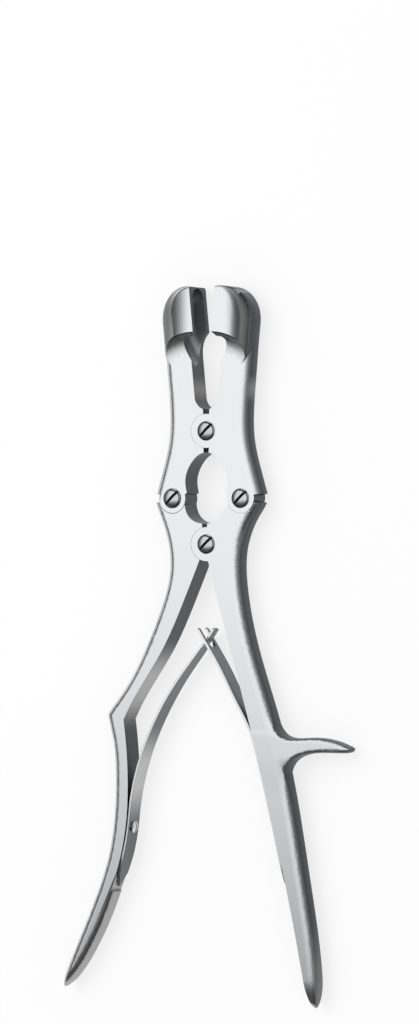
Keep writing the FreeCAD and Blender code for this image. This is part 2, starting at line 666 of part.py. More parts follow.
def addSpur(name, outside):
    out, middle, height = size("spurOut"), -size("spurDown"), size("spurHeight")
    depth, radius = size("spurDepth"), size("spurRound")
    top, bottom = middle + height / 2, middle - height / 2
    highY, lowY = top + 4.5, bottom - 8.5
    highX, lowX = crossing(outside, highY), crossing(outside, lowY)
    rootTop, rootLow = spot(RIGHT, highX - 0.2, highY), spot(RIGHT, lowX - 0.6, lowY)
    run = out - highX

    def along(share, y):
        return spot(RIGHT, highX + share * run, y)

    ends = [along(0.913, top - 2.3), along(1, middle - 1.4), along(0.947, bottom + 0.1)]
    upper = [rootTop, along(0.147, top + 0.1), along(0.433, top), along(0.76, top - 0.8), ends[0]]
    lower = [ends[2], along(0.7, bottom), along(0.45, bottom - 0.6), along(0.277, bottom - 2.4), rootLow]
    inLow, inTop = spot(RIGHT, lowX - 5, lowY), spot(RIGHT, highX - 4.5, highY)
    body = newBody(name)
    sketch = drawSketch(body, name + "Outline", "XY_Plane", [
        spline(upper), spline(ends, Vector(1, -0.45, 0), Vector(-1, 0, 0)), spline(lower),
        line(rootLow, inLow), line(inLow, inTop), line(inTop, rootTop),
    ], "0.5 * (Sizes.jointThickness - Sizes.spurDepth) - 0.3")
    addPad(body, sketch, name + "Pad", "Sizes.spurDepth")
    low = Vector(0, 0, (thickness - depth) / 2 - 0.3)
    high = low + Vector(0, 0, depth)
    return roundEdges(body, name + "Edges", [
        (point + level, point + level, radius, radius)
        for level in (low, high) for point in (upper[2], ends[1], lower[1])])


def leafOutline(points):
    # Both faces of a leaf, from its middle line, with square ends
    middle = spline(points)
    count = 24
    half = size("leafThickness") / 2
    faces = {-1: [], 1: []}
    for step in range(count + 1):
        at = middle.FirstParameter + (middle.LastParameter - middle.FirstParameter) * step / count
        tangent = middle.tangent(at)[0]
        normal = Vector(-tangent.y, tangent.x, 0).normalize()
        for way in faces:
            faces[way].append(middle.value(at) + normal * half * way)
    return [spline(faces[1]), line(faces[1][-1], faces[-1][-1]), spline(faces[-1]),
            line(faces[-1][0], faces[1][0])]


def footPoints(wallPoints, side, heights):
    # Middle line of a leaf's foot, just clear of the handle's inner wall
    wall = spline(wallPoints)
    off = size("leafThickness") / 2 + size("leafSeatGap")
    result = []
    for y in heights:
        hit = wall.intersect(Part.LineSegment(Vector(-80, y, 0), Vector(80, y, 0)))[0]
        place = Vector(hit.X, hit.Y, 0)
        tangent = wall.tangent(wall.parameter(place))[0]
        inward = Vector(tangent.y, -tangent.x, 0).normalize()
        if inward.x * side > 0:
            inward = inward * -1
        result.append(place + inward * off)
    return result


def makeLeaf(label, points, sideView, wallPoints, side):
    strip = newBody(label + "Strip")
    sketch = drawSketch(strip, label + "Edge", "XY_Plane", leafOutline(points), str(leafMiddle - 6))
    addPad(strip, sketch, label + "Pad", "12")
    blank = newBody(label + "Blank")
    profile = drawSketch(blank, label + "SideView", "YZ_Plane", sideView)
    addPad(blank, profile, label + "BlankPad", "200", True)
    leaf = doc.addObject("Part::Common", label + "Leaf")
    leaf.Base, leaf.Tool = strip, blank
    doc.recompute()
    place, inward = springSeat(wallPoints, side)
    hole = doc.addObject("Part::Cylinder", label + "Hole")
    hole.setExpression("Radius", "Sizes.springShankRadius + Sizes.screwClearance")
    hole.setExpression("Height", "Sizes.leafThickness + 4")
    hole.Placement = Placement(place + inward * -2 + Vector(0, 0, leafMiddle),
                               Rotation(Vector(0, 0, 1), inward))
    return cut(label, leaf, [hole])


def at(y, z):
    return Vector(y, leafMiddle + z, 0)


def leafEnd(half):
    # Side view of a leaf's foot, from one edge round its end to the other
    foot = -size("footEnd")
    return [at(foot + 12, half), at(foot + 5, half * 0.8), at(foot, 0), at(foot + 5, -half * 0.8),
            at(foot + 12, -half)]


def footHeights(top, shares):
    run = size("footEnd") + 0.5 - top
    return [-top - share * run for share in shares]


def makeLeftLeaf(label):
    half, tongue, tip = size("leafWidth") / 2, size("tongueWidth") / 2, -size("leafTipDown")
    foot = footPoints(leftWallPoints(), LEFT, footHeights(size("leftFootDown"), (0, 0.19, 0.53, 0.74, 1)))
    points = bowed(LEFT, (-1.4, tip), (-foot[0].x, foot[0].y), [
        (0.0, 0.0), (0.09, 0.013), (0.285, 0.052), (0.514, 0.075), (0.721, 0.066)]) + foot
    turns = [at(tip - 1.2, tongue), at(tip - 5.9, tongue), at(tip - 7.6, half * 0.8), at(tip - 28, half)]
    turns += leafEnd(half)
    turns += [at(tip - 28, -half), at(tip - 7.6, -half * 0.8), at(tip - 5.9, -tongue), at(tip - 1.2, -tongue)]
    view = [line(a, b) for a, b in zip(turns, turns[1:])] + [arc(turns[-1], at(tip + 0.8, 0), turns[0])]
    return makeLeaf(label, points, view, leftWallPoints(), LEFT)


def makeRightLeaf(label):
    half, gap, tip = size("leafWidth") / 2, size("forkGap") / 2, -size("leafTipDown")
    foot = footPoints(rightWallPoints(), RIGHT, footHeights(
        size("rightFootDown"), (0, 0.057, 0.133, 0.248, 0.4, 0.558, 0.743, 1)))
    points = bowed(RIGHT, (-4.3, tip), (foot[0].x, foot[0].y), [
        (0.0, 0.0), (0.142, 0.011), (0.338, 0.025), (0.569, 0.026), (0.745, 0.032), (0.881, 0.024)]) + foot
    prong, root = (half + gap) / 2, tip - 4.8
    turns = [at(tip - 0.6, half)] + leafEnd(half) + [at(tip - 0.6, -half)]
    view = [line(a, b) for a, b in zip(turns, turns[1:])]
    view += [arc(at(tip - 0.6, -half), at(tip + 0.3, -prong), at(tip - 0.6, -gap)),
             line(at(tip - 0.6, -gap), at(root, -gap)),
             arc(at(root, -gap), at(root - gap, 0), at(root, gap)), line(at(root, gap), at(tip - 0.6, gap)),
             arc(at(tip - 0.6, gap), at(tip + 0.3, prong), at(tip - 0.6, half))]
    return makeLeaf(label, points, view, rightWallPoints(), RIGHT)


def makePivotScrew(label, x, y):
    body = newBody(label)
    top, head, shank = thickness, size("screwHeadRadius"), size("screwShankRadius")
    seat, proud, crown = size("screwHeadSeat"), size("screwHeadProud"), size("screwCrown")
    rimHeight = top + proud
    profile = [Vector(0, 0, 0), Vector(shank - 0.3, 0, 0), Vector(shank, 0.3, 0),
               Vector(shank, top - seat, 0), Vector(head, top - seat, 0),
               Vector(head, rimHeight - 0.25, 0), Vector(head - 0.25, rimHeight, 0)]
    crownTop = Vector(0, rimHeight + crown, 0)
    curves = [line(a, b) for a, b in zip(profile, profile[1:])]
    curves.append(arc(profile[-1], Vector(head * 0.5, rimHeight + crown * 0.77, 0), crownTop))
    curves.append(line(crownTop, profile[0]))
    sketch = drawSketch(body, label + "Profile", "XZ_Plane", curves)
    addTurned("PartDesign::Revolution", body, sketch, label + "Turned")
    half = size("screwSlotWidth") / 2
    bottom = rimHeight + crown - size("screwSlotDepth")
    slot = drawSketch(body, label + "Slot", "XZ_Plane",
                      loop([Vector(-half, bottom, 0), Vector(half, bottom, 0),
                            Vector(half, top + 3, 0), Vector(-half, top + 3, 0)]))
    addPocket(body, slot, label + "SlotCut")
    body.Label = label
    body.Placement = Placement(Vector(0, 0, 0), Rotation(Vector(0, 0, 1), -45))
    body.setExpression("Placement.Base.x", x)
    body.setExpression("Placement.Base.y", y)
    return body


def makeSpringScrew(label, wallPoints, side):
    body = newBody(label)
    head, height = size("springHeadRadius"), size("springHeadHeight")
    shank, length = size("springShankRadius"), size("springShankLength")
    profile = [Vector(0, -length, 0), Vector(shank * 0.7, -length, 0), Vector(shank, -length + 0.6, 0),
               Vector(shank, 0, 0), Vector(head, 0, 0), Vector(head, height * 0.45, 0)]
    top = Vector(0, height, 0)
    curves = [line(a, b) for a, b in zip(profile, profile[1:])]
    curves.append(arc(profile[-1], Vector(head * 0.6, height * 0.86, 0), top))
    curves.append(line(top, profile[0]))
    sketch = drawSketch(body, label + "Profile", "XZ_Plane", curves)
    addTurned("PartDesign::Revolution", body, sketch, label + "Turned")
    half, bottom = size("springSlotWidth") / 2, height - size("springSlotDepth")
    slot = drawSketch(body, label + "Slot", "XZ_Plane",
                      loop([Vector(-half, bottom, 0), Vector(half, bottom, 0),
                            Vector(half, height + 2, 0), Vector(-half, height + 2, 0)]))
    addPocket(body, slot, label + "SlotCut")
    body.Label = label
    place, inward = springSeat(wallPoints, side)
    off = size("leafThickness") + 2 * size("leafSeatGap")
    body.Placement = Placement(place + inward * off + Vector(0, 0, leafMiddle),
                               Rotation(Vector(0, 0, 1), inward))
    return body


pieces = [
    makeJaw(LEFT, "left_jaw", False, True, "openPivotClearance"),
    makeJaw(RIGHT, "right_jaw", True, True, "bossClearance"),
    makeLeftHandle("left_handle"),
    makeRightHandle("right_handle"),
    makeLeftLeaf("left_spring"),
    makeRightLeaf("right_spring"),
    makePivotScrew("jaw_pivot_screw", "0", "Sizes.jawPivotUp"),
    makePivotScrew("handle_pivot_screw", "0", "0"),
    makePivotScrew("left_pivot_screw", "-Sizes.sidePivotOut", "Sizes.sidePivotUp"),
    makePivotScrew("right_pivot_screw", "Sizes.sidePivotOut", "Sizes.sidePivotUp"),
    makeSpringScrew("left_spring_screw", leftWallPoints(), LEFT),
    makeSpringScrew("right_spring_screw", rightWallPoints(), RIGHT),
]
doc.recompute()

for item in doc.Objects:
    if "Invalid" in item.State or "Error" in item.State:
        raise RuntimeError(f"{item.Name} is {item.State}")
os.makedirs("parts", exist_ok=True)
for piece in pieces:
    shape = piece.Shape
    if shape.isNull() or not shape.isValid() or len(shape.Solids) != 1:
        raise RuntimeError(f"{piece.Label} has a bad shape with {len(shape.Solids)} solids")
    shape.exportStep(f"parts/{piece.Label}.step")
    print(f"{piece.Label}: {shape.Volume:.0f} mm3, {len(shape.Faces)} faces")
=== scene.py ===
import json
import math

import bpy
from mathutils import Matrix, Vector


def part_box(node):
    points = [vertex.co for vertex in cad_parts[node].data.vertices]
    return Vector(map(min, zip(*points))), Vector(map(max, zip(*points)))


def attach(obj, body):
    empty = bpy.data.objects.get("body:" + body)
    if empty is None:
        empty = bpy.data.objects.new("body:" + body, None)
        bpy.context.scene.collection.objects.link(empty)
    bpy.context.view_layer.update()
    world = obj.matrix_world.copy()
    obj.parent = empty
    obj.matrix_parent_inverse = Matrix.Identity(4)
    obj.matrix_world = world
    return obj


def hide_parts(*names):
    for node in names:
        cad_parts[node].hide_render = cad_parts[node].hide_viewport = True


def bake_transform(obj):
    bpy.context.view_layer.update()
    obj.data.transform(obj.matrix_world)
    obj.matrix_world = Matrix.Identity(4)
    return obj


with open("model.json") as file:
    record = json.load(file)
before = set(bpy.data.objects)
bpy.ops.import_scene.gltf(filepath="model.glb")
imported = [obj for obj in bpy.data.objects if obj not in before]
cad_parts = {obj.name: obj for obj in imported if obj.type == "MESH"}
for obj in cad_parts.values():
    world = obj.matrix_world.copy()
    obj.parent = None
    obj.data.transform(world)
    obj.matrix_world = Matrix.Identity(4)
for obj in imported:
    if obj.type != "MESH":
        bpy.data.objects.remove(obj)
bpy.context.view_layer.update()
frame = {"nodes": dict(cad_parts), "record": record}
bodies = frame["record"]["behaviour"]["bodies"]
bodyOf = {node: body for body, nodes in bodies.items() for node in nodes}
print("frame loaded,", len(bodyOf), "nodes")


# Small helpers

def selectOnly(obj):
    bpy.ops.object.select_all(action="DESELECT")
    obj.select_set(True)
    bpy.context.view_layer.objects.active = obj


def smooth(value, low, high):
    share = min(max((value - low) / (high - low), 0.0), 1.0)
    return share * share * (3 - 2 * share)


class Value:
    # A number socket of a shader, with arithmetic that adds its Math nodes
    def __init__(self, finish, socket):
        self.finish = finish
        self.socket = socket

    def math(self, operation, *others):
        inputs = dict(enumerate((self,) + others))
        return self.finish.add("ShaderNodeMath", {"operation": operation}, inputs)

    def __add__(self, other):
        return self.math("ADD", other)

    def __sub__(self, other):
        return self.math("SUBTRACT", other)

    def __rsub__(self, other):
        return self.math("MULTIPLY_ADD", -1.0, other)

    def __mul__(self, other):
        return self.math("MULTIPLY", other)

    def __abs__(self):
        return self.math("ABSOLUTE")

    __radd__ = __add__
    __rmul__ = __mul__

    def steps(self, low, high):
        # 0 below low, 1 above high and smooth between them
        inputs = {"Value": self, "From Min": low, "From Max": high}
        return self.finish.add("ShaderNodeMapRange", {"interpolation_type": "SMOOTHSTEP"}, inputs)


class Finish:
    # The nodes of a material or of the world
    def __init__(self, owner, ending="ShaderNodeOutputMaterial"):
        owner.use_nodes = True
        self.owner = owner
        self.ending = ending
        self.tree = owner.node_tree
        self.tree.nodes.clear()

    def add(self, kind, settings=None, inputs=None, output=0):
        # Adds a node, sets it up and joins its sockets, and returns one output
        made = self.tree.nodes.new(kind)
        for name, value in (settings or {}).items():
            setattr(made, name, value)
        for name, value in (inputs or {}).items():
            if isinstance(value, Value):
                self.tree.links.new(value.socket, made.inputs[name])
            else:
                made.inputs[name].default_value = value
        return Value(self, made.outputs[output])

    def surface(self, shader):
        out = self.tree.nodes.new(self.ending)
        self.tree.links.new(shader.socket, out.inputs["Surface"])
        return self.owner

    def steel(self, inputs):
        return self.surface(self.add("ShaderNodeBsdfPrincipled", None, {"Metallic": 1.0, **inputs}))


def mixColour(finish, amount, first, second, blend="MIX"):
    return finish.add("ShaderNodeMix", {"data_type": "RGBA", "blend_type": blend},
                      {0: amount, 6: first, 7: second}, output=2)


# Steel finishes: bright on the front and back; round the edges and on the walls the colour is darkened as
# painted shade, and the gloss is rougher there.
# "turn" is the upward part of the normal below which a surface is all wall and above
# which it is all front. Each look's list of zones gives where the walls are painted paler along
# the piece, as painted reflection: the middle, how far on each side they are palest and how far out they fade

# The dark wall colours in these looks are painted shade on the surfaces that turn away from the front and
# back
plainSteel = {
    "face": (0.86, 0.87, 0.885, 1), "wall": (0.085, 0.089, 0.098, 1), "rough": 0.24, "wallRough": 0.40,
    "turn": (0.40, 0.97), "grain": (900, 45, 900), "grainDepth": 0.00002, "wallReflections": [], "crowned": False,
}
# The pale wall colours and their zones in these looks are painted reflection
steelLook = {
    "jawSteel": {
        **plainSteel, "wallReflection": (0.22, 0.22, 0.22, 1), "wallReflections": [(0.0575, 0.0, 0.006)],
    },
    "cupSteel": {
        **plainSteel, "crowned": True,
    },
    "leftSteel": {
        **plainSteel, "wallRough": 0.36, "wallReflection": (0.50, 0.50, 0.50, 1),
        "wallReflections": [(-0.053, 0.003, 0.018), (-0.170, 0.050, 0.062)],
    },
    "rightSteel": {
        **plainSteel, "wallReflection": (0.24, 0.24, 0.24, 1), "wallReflections": [(-0.180, 0.015, 0.045)],
    },
    # The cups' hollows are painted darker: painted shade in the recess
    "shadedHollowSteel": {
        **plainSteel, "face": (0.42, 0.43, 0.45, 1), "wall": (0.30, 0.31, 0.33, 1), "rough": 0.45,
        "wallRough": 0.5, "turn": (0.2, 0.9), "grain": (300, 300, 900), "grainDepth": 0.00003,
    },
    # The broken edges are nearly black, as painted shade
    "shadedEdgeSteel": {
        **plainSteel, "face": (0.16, 0.165, 0.175, 1), "wall": (0.09, 0.095, 0.10, 1), "rough": 0.35,
        "turn": (0.2, 0.9), "grain": (900, 900, 900), "grainDepth": 0.00001,
    },
    "leafSteel": {
        **plainSteel, "face": (0.90, 0.91, 0.93, 1), "wall": (0.17, 0.175, 0.185, 1), "wallRough": 0.30,
        "turn": (0.30, 0.97), "grain": (700, 90, 1500), "grainDepth": 0.00001,
        "wallReflection": (0.62, 0.62, 0.62, 1), "wallReflections": [(-0.087, 0.003, 0.020)],
    },
}

# The same for all of them: where a back becomes a wall, and how far the fine grain and
# the slow clouds over it change the tone and the gloss
brushed = {
    "backTurn": (0.75, 0.99), "grainDetail": 5.0, "grainRoughness": 0.6, "cloudScale": 38.0,
    "cloudDetail": 3.0, "tone": 0.93, "grainTone": 0.07, "cloudTone": 0.06, "grainGloss": 0.10,
    "cloudGloss": 0.06, "bump": 0.5,
}

# The grips are painted darker towards their ends than the jaws: painted shade
gripShade = {"from": -0.16, "to": 0.03, "least": 0.80}

# The front of a cup shades as if it fell away from its rim outwards, by "rise" times
# the square of the distance, in the bump alone, and its colour darkens towards its outer side as painted
# shade
crown = {"rim": 0.003, "rise": 26.0, "shadeSpan": (0.0065, 0.0125), "shadeDepth": 0.75}


def steelFinish(name, look):
    # Brushed along the piece
    finish = Finish(bpy.data.materials.new(name))
    place = finish.add("ShaderNodeTexCoord", output="Object")
    normal = finish.add("ShaderNodeTexCoord", output="Normal")
    upright = finish.add("ShaderNodeSeparateXYZ", None, {0: normal}, output="Z")
    along = finish.add("ShaderNodeSeparateXYZ", None, {0: place}, output="Y")
    # Walls take the dark wall colour, which is painted shade
    wall = 1 - (upright.steps(*look["turn"]) + (0 - upright).steps(*brushed["backTurn"]))
    walls = look["wall"]
    # Zones along the piece lighten the painted wall shade: painted reflection
    for middle, inner, outer in look["wallReflections"]:
        reflectionShare = 1 - abs(along - middle).steps(inner, outer)
        walls = mixColour(finish, reflectionShare, walls, look["wallReflection"])
    colour = mixColour(finish, wall, look["face"], walls)

    stretched = finish.add("ShaderNodeMapping", None, {"Vector": place, "Scale": look["grain"]})
    grain = finish.add("ShaderNodeTexNoise", None, {
        "Vector": stretched, "Scale": 1.0, "Detail": brushed["grainDetail"],
        "Roughness": brushed["grainRoughness"]})
    cloud = finish.add("ShaderNodeTexNoise", None, {
        "Vector": place, "Scale": brushed["cloudScale"], "Detail": brushed["cloudDetail"]})
    rough = look["rough"] + wall * (look["wallRough"] - look["rough"])
    rough = rough + brushed["grainGloss"] * (grain - 0.5) + brushed["cloudGloss"] * (cloud - 0.5)
    bump = finish.add("ShaderNodeBump", None, {
        "Height": grain, "Distance": look["grainDepth"], "Strength": brushed["bump"]})

    # Darker towards the ends of the grips, down to the least share: painted shade
    shadeFactor = gripShade["least"] + (1 - gripShade["least"]) * along.steps(gripShade["from"], gripShade["to"])
    if look["crowned"]:
        across = finish.add("ShaderNodeSeparateXYZ", None, {0: place}, output="X")
        out = (abs(across) - crown["rim"]).math("MAXIMUM", 0.0)
        # The cup's front darkens towards its outer side: painted shade
        shadeFactor = shadeFactor * (1 - crown["shadeDepth"] * out.steps(*crown["shadeSpan"]))
        fall = out * out * (-crown["rise"])
        bump = finish.add("ShaderNodeBump", None, {
            "Height": fall, "Distance": 1.0, "Strength": 1.0, "Normal": bump})
    tone = shadeFactor * (brushed["tone"] + brushed["grainTone"] * grain + brushed["cloudTone"] * cloud)
    grey = finish.add("ShaderNodeCombineColor", None, {0: tone, 1: tone, 2: tone})
    colour = mixColour(finish, 1.0, colour, grey, "MULTIPLY")
    return finish.steel({"Base Color": colour, "Roughness": rough, "Normal": bump})


turnedLook = {
    "ringScale": 9000.0, "cloudScale": 400.0, "cloudDetail": 3.0, "rough": 0.20, "ringGloss": 0.03,
    "cloudGloss": 0.10, "dark": (0.58, 0.59, 0.61, 1), "bright": (0.72, 0.73, 0.75, 1),
    "ringDepth": 0.000006, "bump": 0.4,
}


def screwFinish(name, centre, deep):
    # Turned on a lathe: fine rings round the middle of the head, which are cylinders
    # where deep is 0 and spheres where it is 1
    finish = Finish(bpy.data.materials.new(name))
    place = finish.add("ShaderNodeTexCoord", output="Object")
    level = finish.add("ShaderNodeVectorMath", {"operation": "MULTIPLY"}, {0: place, 1: (1, 1, deep)})
    middle = (centre[0], centre[1], centre[2] * deep)
    out = finish.add("ShaderNodeVectorMath", {"operation": "DISTANCE"}, {0: level, 1: middle}, output="Value")
    rings = (out * turnedLook["ringScale"]).math("SINE")
    cloud = finish.add("ShaderNodeTexNoise", None, {
        "Vector": place, "Scale": turnedLook["cloudScale"], "Detail": turnedLook["cloudDetail"]})
    rough = turnedLook["rough"] + turnedLook["ringGloss"] * rings + turnedLook["cloudGloss"] * (cloud - 0.5)
    colour = mixColour(finish, cloud, turnedLook["dark"], turnedLook["bright"])
    bump = finish.add("ShaderNodeBump", None, {
        "Height": rings, "Distance": turnedLook["ringDepth"], "Strength": turnedLook["bump"]})
    return finish.steel({"Base Color": colour, "Roughness": rough, "Normal": bump})


# The screw slots are painted nearly black: painted shade in the slot
slotShadeLook = {
    "cloudScale": 900.0, "cloudDetail": 3.0, "rough": 0.5, "cloudGloss": 0.1,
    "dark": (0.035, 0.036, 0.04, 1), "bright": (0.10, 0.10, 0.11, 1),
}


def slotShadeFinish(name, look):
    finish = Finish(bpy.data.materials.new(name))
    place = finish.add("ShaderNodeTexCoord", output="Object")
    cloud = finish.add("ShaderNodeTexNoise", None, {
        "Vector": place, "Scale": look["cloudScale"], "Detail": look["cloudDetail"]})
    colour = mixColour(finish, cloud, look["dark"], look["bright"])
    return finish.steel({"Base Color": colour, "Roughness": look["rough"] + look["cloudGloss"] * cloud})


steels = {name: steelFinish(name, look) for name, look in steelLook.items()}
steels["shadedSlotSteel"] = slotShadeFinish("shadedSlotSteel", slotShadeLook)
print("finishes made")


# Rigid pieces: each is a smoothed copy of its node with its edges broken. Lengths are in
# metres and angles in degrees. A piece's steels come in the order of the indexes: its own,
# its broken edges in painted shade, the hollow or the slot in painted shade, and a cup's front

edges = {"plate": 0.00015, "screw": 0.00012, "leaf": 0.00008, "segments": 2, "sharp": 35}
mesh = {"merge": 0.000002, "flat": 0.4, "smooth": 30}
shadedEdgeIndex, shadedRecessIndex, frontIndex = 1, 2, 3


def copyNode(node, name, finishes, broken=0.0, shape=None):
    piece = frame["nodes"][node].copy()
    piece.data = piece.data.copy()
    piece.name = piece.data.name = name
    for key in list(piece.keys()):
        del piece[key]
    bpy.context.scene.collection.objects.link(piece)
    piece.parent = None
    piece.data.materials.clear()
    for finish in finishes:
        piece.data.materials.append(finish)
    selectOnly(piece)
    bpy.ops.mesh.customdata_custom_splitnormals_clear()
    bpy.ops.object.mode_set(mode="EDIT")
    bpy.ops.mesh.select_all(action="SELECT")
    bpy.ops.mesh.remove_doubles(threshold=mesh["merge"])
    if broken:
        bpy.ops.mesh.dissolve_limited(angle_limit=math.radians(mesh["flat"]))
    bpy.ops.object.mode_set(mode="OBJECT")
    if shape:
        shape(piece)
    if broken:
        bevel = piece.modifiers.new("Broken edges", "BEVEL")
        bevel.width = broken
        bevel.segments = edges["segments"]
        bevel.limit_method = "ANGLE"
        bevel.angle_limit = math.radians(edges["sharp"])
        # The bevel's faces take the nearly black edge steel, which is painted shade
        bevel.material = shadedEdgeIndex
        bpy.ops.object.modifier_apply(modifier=bevel.name)
    bpy.ops.object.shade_smooth_by_angle(angle=math.radians(mesh["smooth"]))
    if broken:
        level = piece.modifiers.new("Level faces", "WEIGHTED_NORMAL")
        level.keep_sharp = True
        bpy.ops.object.modifier_apply(modifier=level.name)
    return piece


# The hollow of a cup in its jaw's own frame, which has the jaw pivot as its origin
# and the jaw turned closed: from the rim outwards, up the jaw and off the back.
# The ramp is the face that looks down the jaw below the cup, and keeps the jaw's steel

cupHollow = {
    "pivot": Vector((0, 0.042, 0)), "open": 5.65, "low": Vector((0.0002, 0.0249, 0.00195)),
    "high": Vector((0.0094, 0.0531, 0.01135)), "heel": 0.0372, "tail": 0.0085, "plate": 0.0097,
    "rampFacing": -0.1, "rampEnd": 0.0392,
}


def paintCup(piece, side):
    # The cup's front and outer side, then its hollow, which is painted darker as shade in the recess
    closed = Matrix.Rotation(math.radians(side * cupHollow["open"]), 3, "Z")
    low, high = cupHollow["low"], cupHollow["high"]
    for face in piece.data.polygons:
        spot = closed @ (face.center - cupHollow["pivot"])
        spot.x *= side
        ramp = (closed @ face.normal).y < cupHollow["rampFacing"] and spot.y < cupHollow["rampEnd"]
        if face.material_index == 0 and spot.z > cupHollow["plate"] and not ramp:
            face.material_index = frontIndex
        inside = all(low[i] < spot[i] < high[i] for i in range(3))
        if inside and (spot.y > cupHollow["heel"] or spot.z < cupHollow["tail"]):
            face.material_index = shadedRecessIndex


# The ends of the grips taper to a round nose, and the spur's root comes up flush with
# the handle's front. It rises from low to full, stays there as far as top and ends at
# high, and it fades outwards between fade and end

noses = {
    "left_handle": {"tip": Vector((-0.0632, -0.1683, 0.0042)), "up": Vector((0.547, 0.837, 0)),
                    "length": 0.005, "cuts": 14},
    "right_handle": {"tip": Vector((0.0427, -0.1702, 0.0042)), "up": Vector((-0.07, 1.0, 0)),
                     "length": 0.011, "cuts": 14},
}
root = {
    "front": 0.0096, "above": 0.0064, "soft": 0.0016, "left": 0.025, "firstCut": 0.030,
    "fade": 0.033, "end": 0.057, "low": -0.094, "full": -0.078, "top": -0.0712, "high": -0.062,
    "cutsUp": 40, "cutsOut": 20,
}


def sliceAcross(along, start, end, count):
    # Adds edge loops across the piece, so that it can bend there
    bpy.ops.object.mode_set(mode="EDIT")
    for step in range(count):
        bpy.ops.mesh.select_all(action="SELECT")
        bpy.ops.mesh.bisect(plane_co=start.lerp(end, (step + 0.5) / count), plane_no=along)
    bpy.ops.object.mode_set(mode="OBJECT")


def roundNose(piece, nose):
    along = nose["up"].normalized()
    tip, length = nose["tip"], nose["length"]
    sliceAcross(along, tip, tip + along * length, nose["cuts"])
    for vertex in piece.data.vertices:
        reach = (vertex.co - tip).dot(along)
        if reach < length:
            axis = tip + along * reach
            size = math.sqrt(max(1 - ((length - max(reach, 0.0)) / length) ** 2, 0.0))
            vertex.co = axis + (vertex.co - axis) * size


def liftRoot(piece):
    low, high, above = root["low"], root["high"], root["above"]
    sliceAcross(Vector((0, 1, 0)), Vector((0, low, 0)), Vector((0, high, 0)), root["cutsUp"])
    sliceAcross(Vector((1, 0, 0)), Vector((root["firstCut"], 0, 0)), Vector((root["end"], 0, 0)),
                root["cutsOut"])
    for vertex in piece.data.vertices:
        x, y, z = vertex.co
        if z > above and x > root["left"] and low < y < high:
            lift = smooth(y, low, root["full"]) * (1 - smooth(y, root["top"], high))
            lift *= (1 - smooth(x, root["fade"], root["end"])) * smooth(z, above, above + root["soft"])
            vertex.co.z = z + (root["front"] - z) * lift


def shapeLeft(piece):
    roundNose(piece, noses["left_handle"])


def shapeRight(piece):
    liftRoot(piece)
    roundNose(piece, noses["right_handle"])


plates = {
    "left_jaw": {"name": "leftJaw", "slot": "cup_steel", "cup": -1},
    "right_jaw": {"name": "rightJaw", "slot": "cup_steel", "cup": 1},
    "left_handle": {"name": "leftHandle", "slot": "satin_steel",
                    "steel": "leftSteel", "shape": shapeLeft},
    "right_handle": {"name": "rightHandle", "slot": "satin_steel",
                     "steel": "rightSteel", "shape": shapeRight},
}
jawSteels = [steels[name] for name in ("jawSteel", "shadedEdgeSteel", "shadedHollowSteel", "cupSteel")]
for node, plate in plates.items():
    if "cup" in plate:
        piece = copyNode(node, plate["name"], jawSteels, edges["plate"])
        paintCup(piece, plate["cup"])
    else:
        gripSteels = [steels[plate["steel"]], steels["shadedEdgeSteel"]]
        piece = copyNode(node, plate["name"], gripSteels, edges["plate"], plate["shape"])
    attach(piece, bodyOf[node])
    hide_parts(node)
print("plates dressed")


# Pivot screws stand on their foot and have their head at the front, with a slot across
# its crown. Spring screws have a plain head

screws = {
    "jaw_pivot_screw": {"name": "jawPivotScrew", "foot": Vector((0, 0.042, 0))},
    "handle_pivot_screw": {"name": "handlePivotScrew", "foot": Vector((0, 0, 0))},
    "left_pivot_screw": {"name": "leftPivotScrew", "foot": Vector((-0.0143, 0.017, 0))},
    "right_pivot_screw": {"name": "rightPivotScrew", "foot": Vector((0.0143, 0.017, 0))},
    "left_spring_screw": {"name": "leftSpringScrew"},
    "right_spring_screw": {"name": "rightSpringScrew"},
}
crownHead = {
    "radius": 0.0036, "reach": 0.92, "top": 0.01095, "crown": 0.0009, "slot": 0.0013,
    "overFloor": 0.00003, "underCrown": 0.00006,
}


def paintSlot(piece, foot):
    # The faces inside the head's rim that lie at the slot's floor or between it and the crown, which are
    # painted nearly black as shade in the slot
    bottom = crownHead["top"] - crownHead["slot"] - crownHead["overFloor"]
    for face in piece.data.polygons:
        offset = face.center - foot
        out = offset.xy.length / crownHead["radius"]
        skin = crownHead["top"] - crownHead["crown"] * out ** 2
        if out < crownHead["reach"] and bottom < offset.z < skin - crownHead["underCrown"]:
            face.material_index = shadedRecessIndex


for node, screw in screws.items():
    if "foot" in screw:
        turned = screwFinish(screw["name"] + "Steel", screw["foot"], 0.0)
        headSteels = [turned, steels["shadedEdgeSteel"], steels["shadedSlotSteel"]]
        piece = copyNode(node, screw["name"], headSteels, edges["screw"])
        paintSlot(piece, screw["foot"])
    else:
        low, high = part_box(node)
        turned = screwFinish(screw["name"] + "Steel", (low + high) / 2, 1.0)
        piece = copyNode(node, screw["name"], [turned])
    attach(piece, bodyOf[node])
    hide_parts(node)
print("screws dressed")


# Leaf springs: a smoothed copy of each node with its edges broken, with its placement baked into its mesh

leaves = {
    "left_spring": {"name": "leftLeaf", "handle": "left_handle",
                    "from": (-0.034, -0.102, 0), "to": (-0.022, -0.066, 0)},
    "right_spring": {"name": "rightLeaf", "handle": "right_handle",
                     "from": (0.020, -0.076, 0), "to": (0.008, -0.052, 0)},
}
for node, leaf in leaves.items():
    piece = copyNode(node, leaf["name"], [steels["leafSteel"], steels["shadedEdgeSteel"]], edges["leaf"])
    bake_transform(piece)
    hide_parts(node)
print("leaves dressed")


# Floor, lights and the cards that the steel reflects

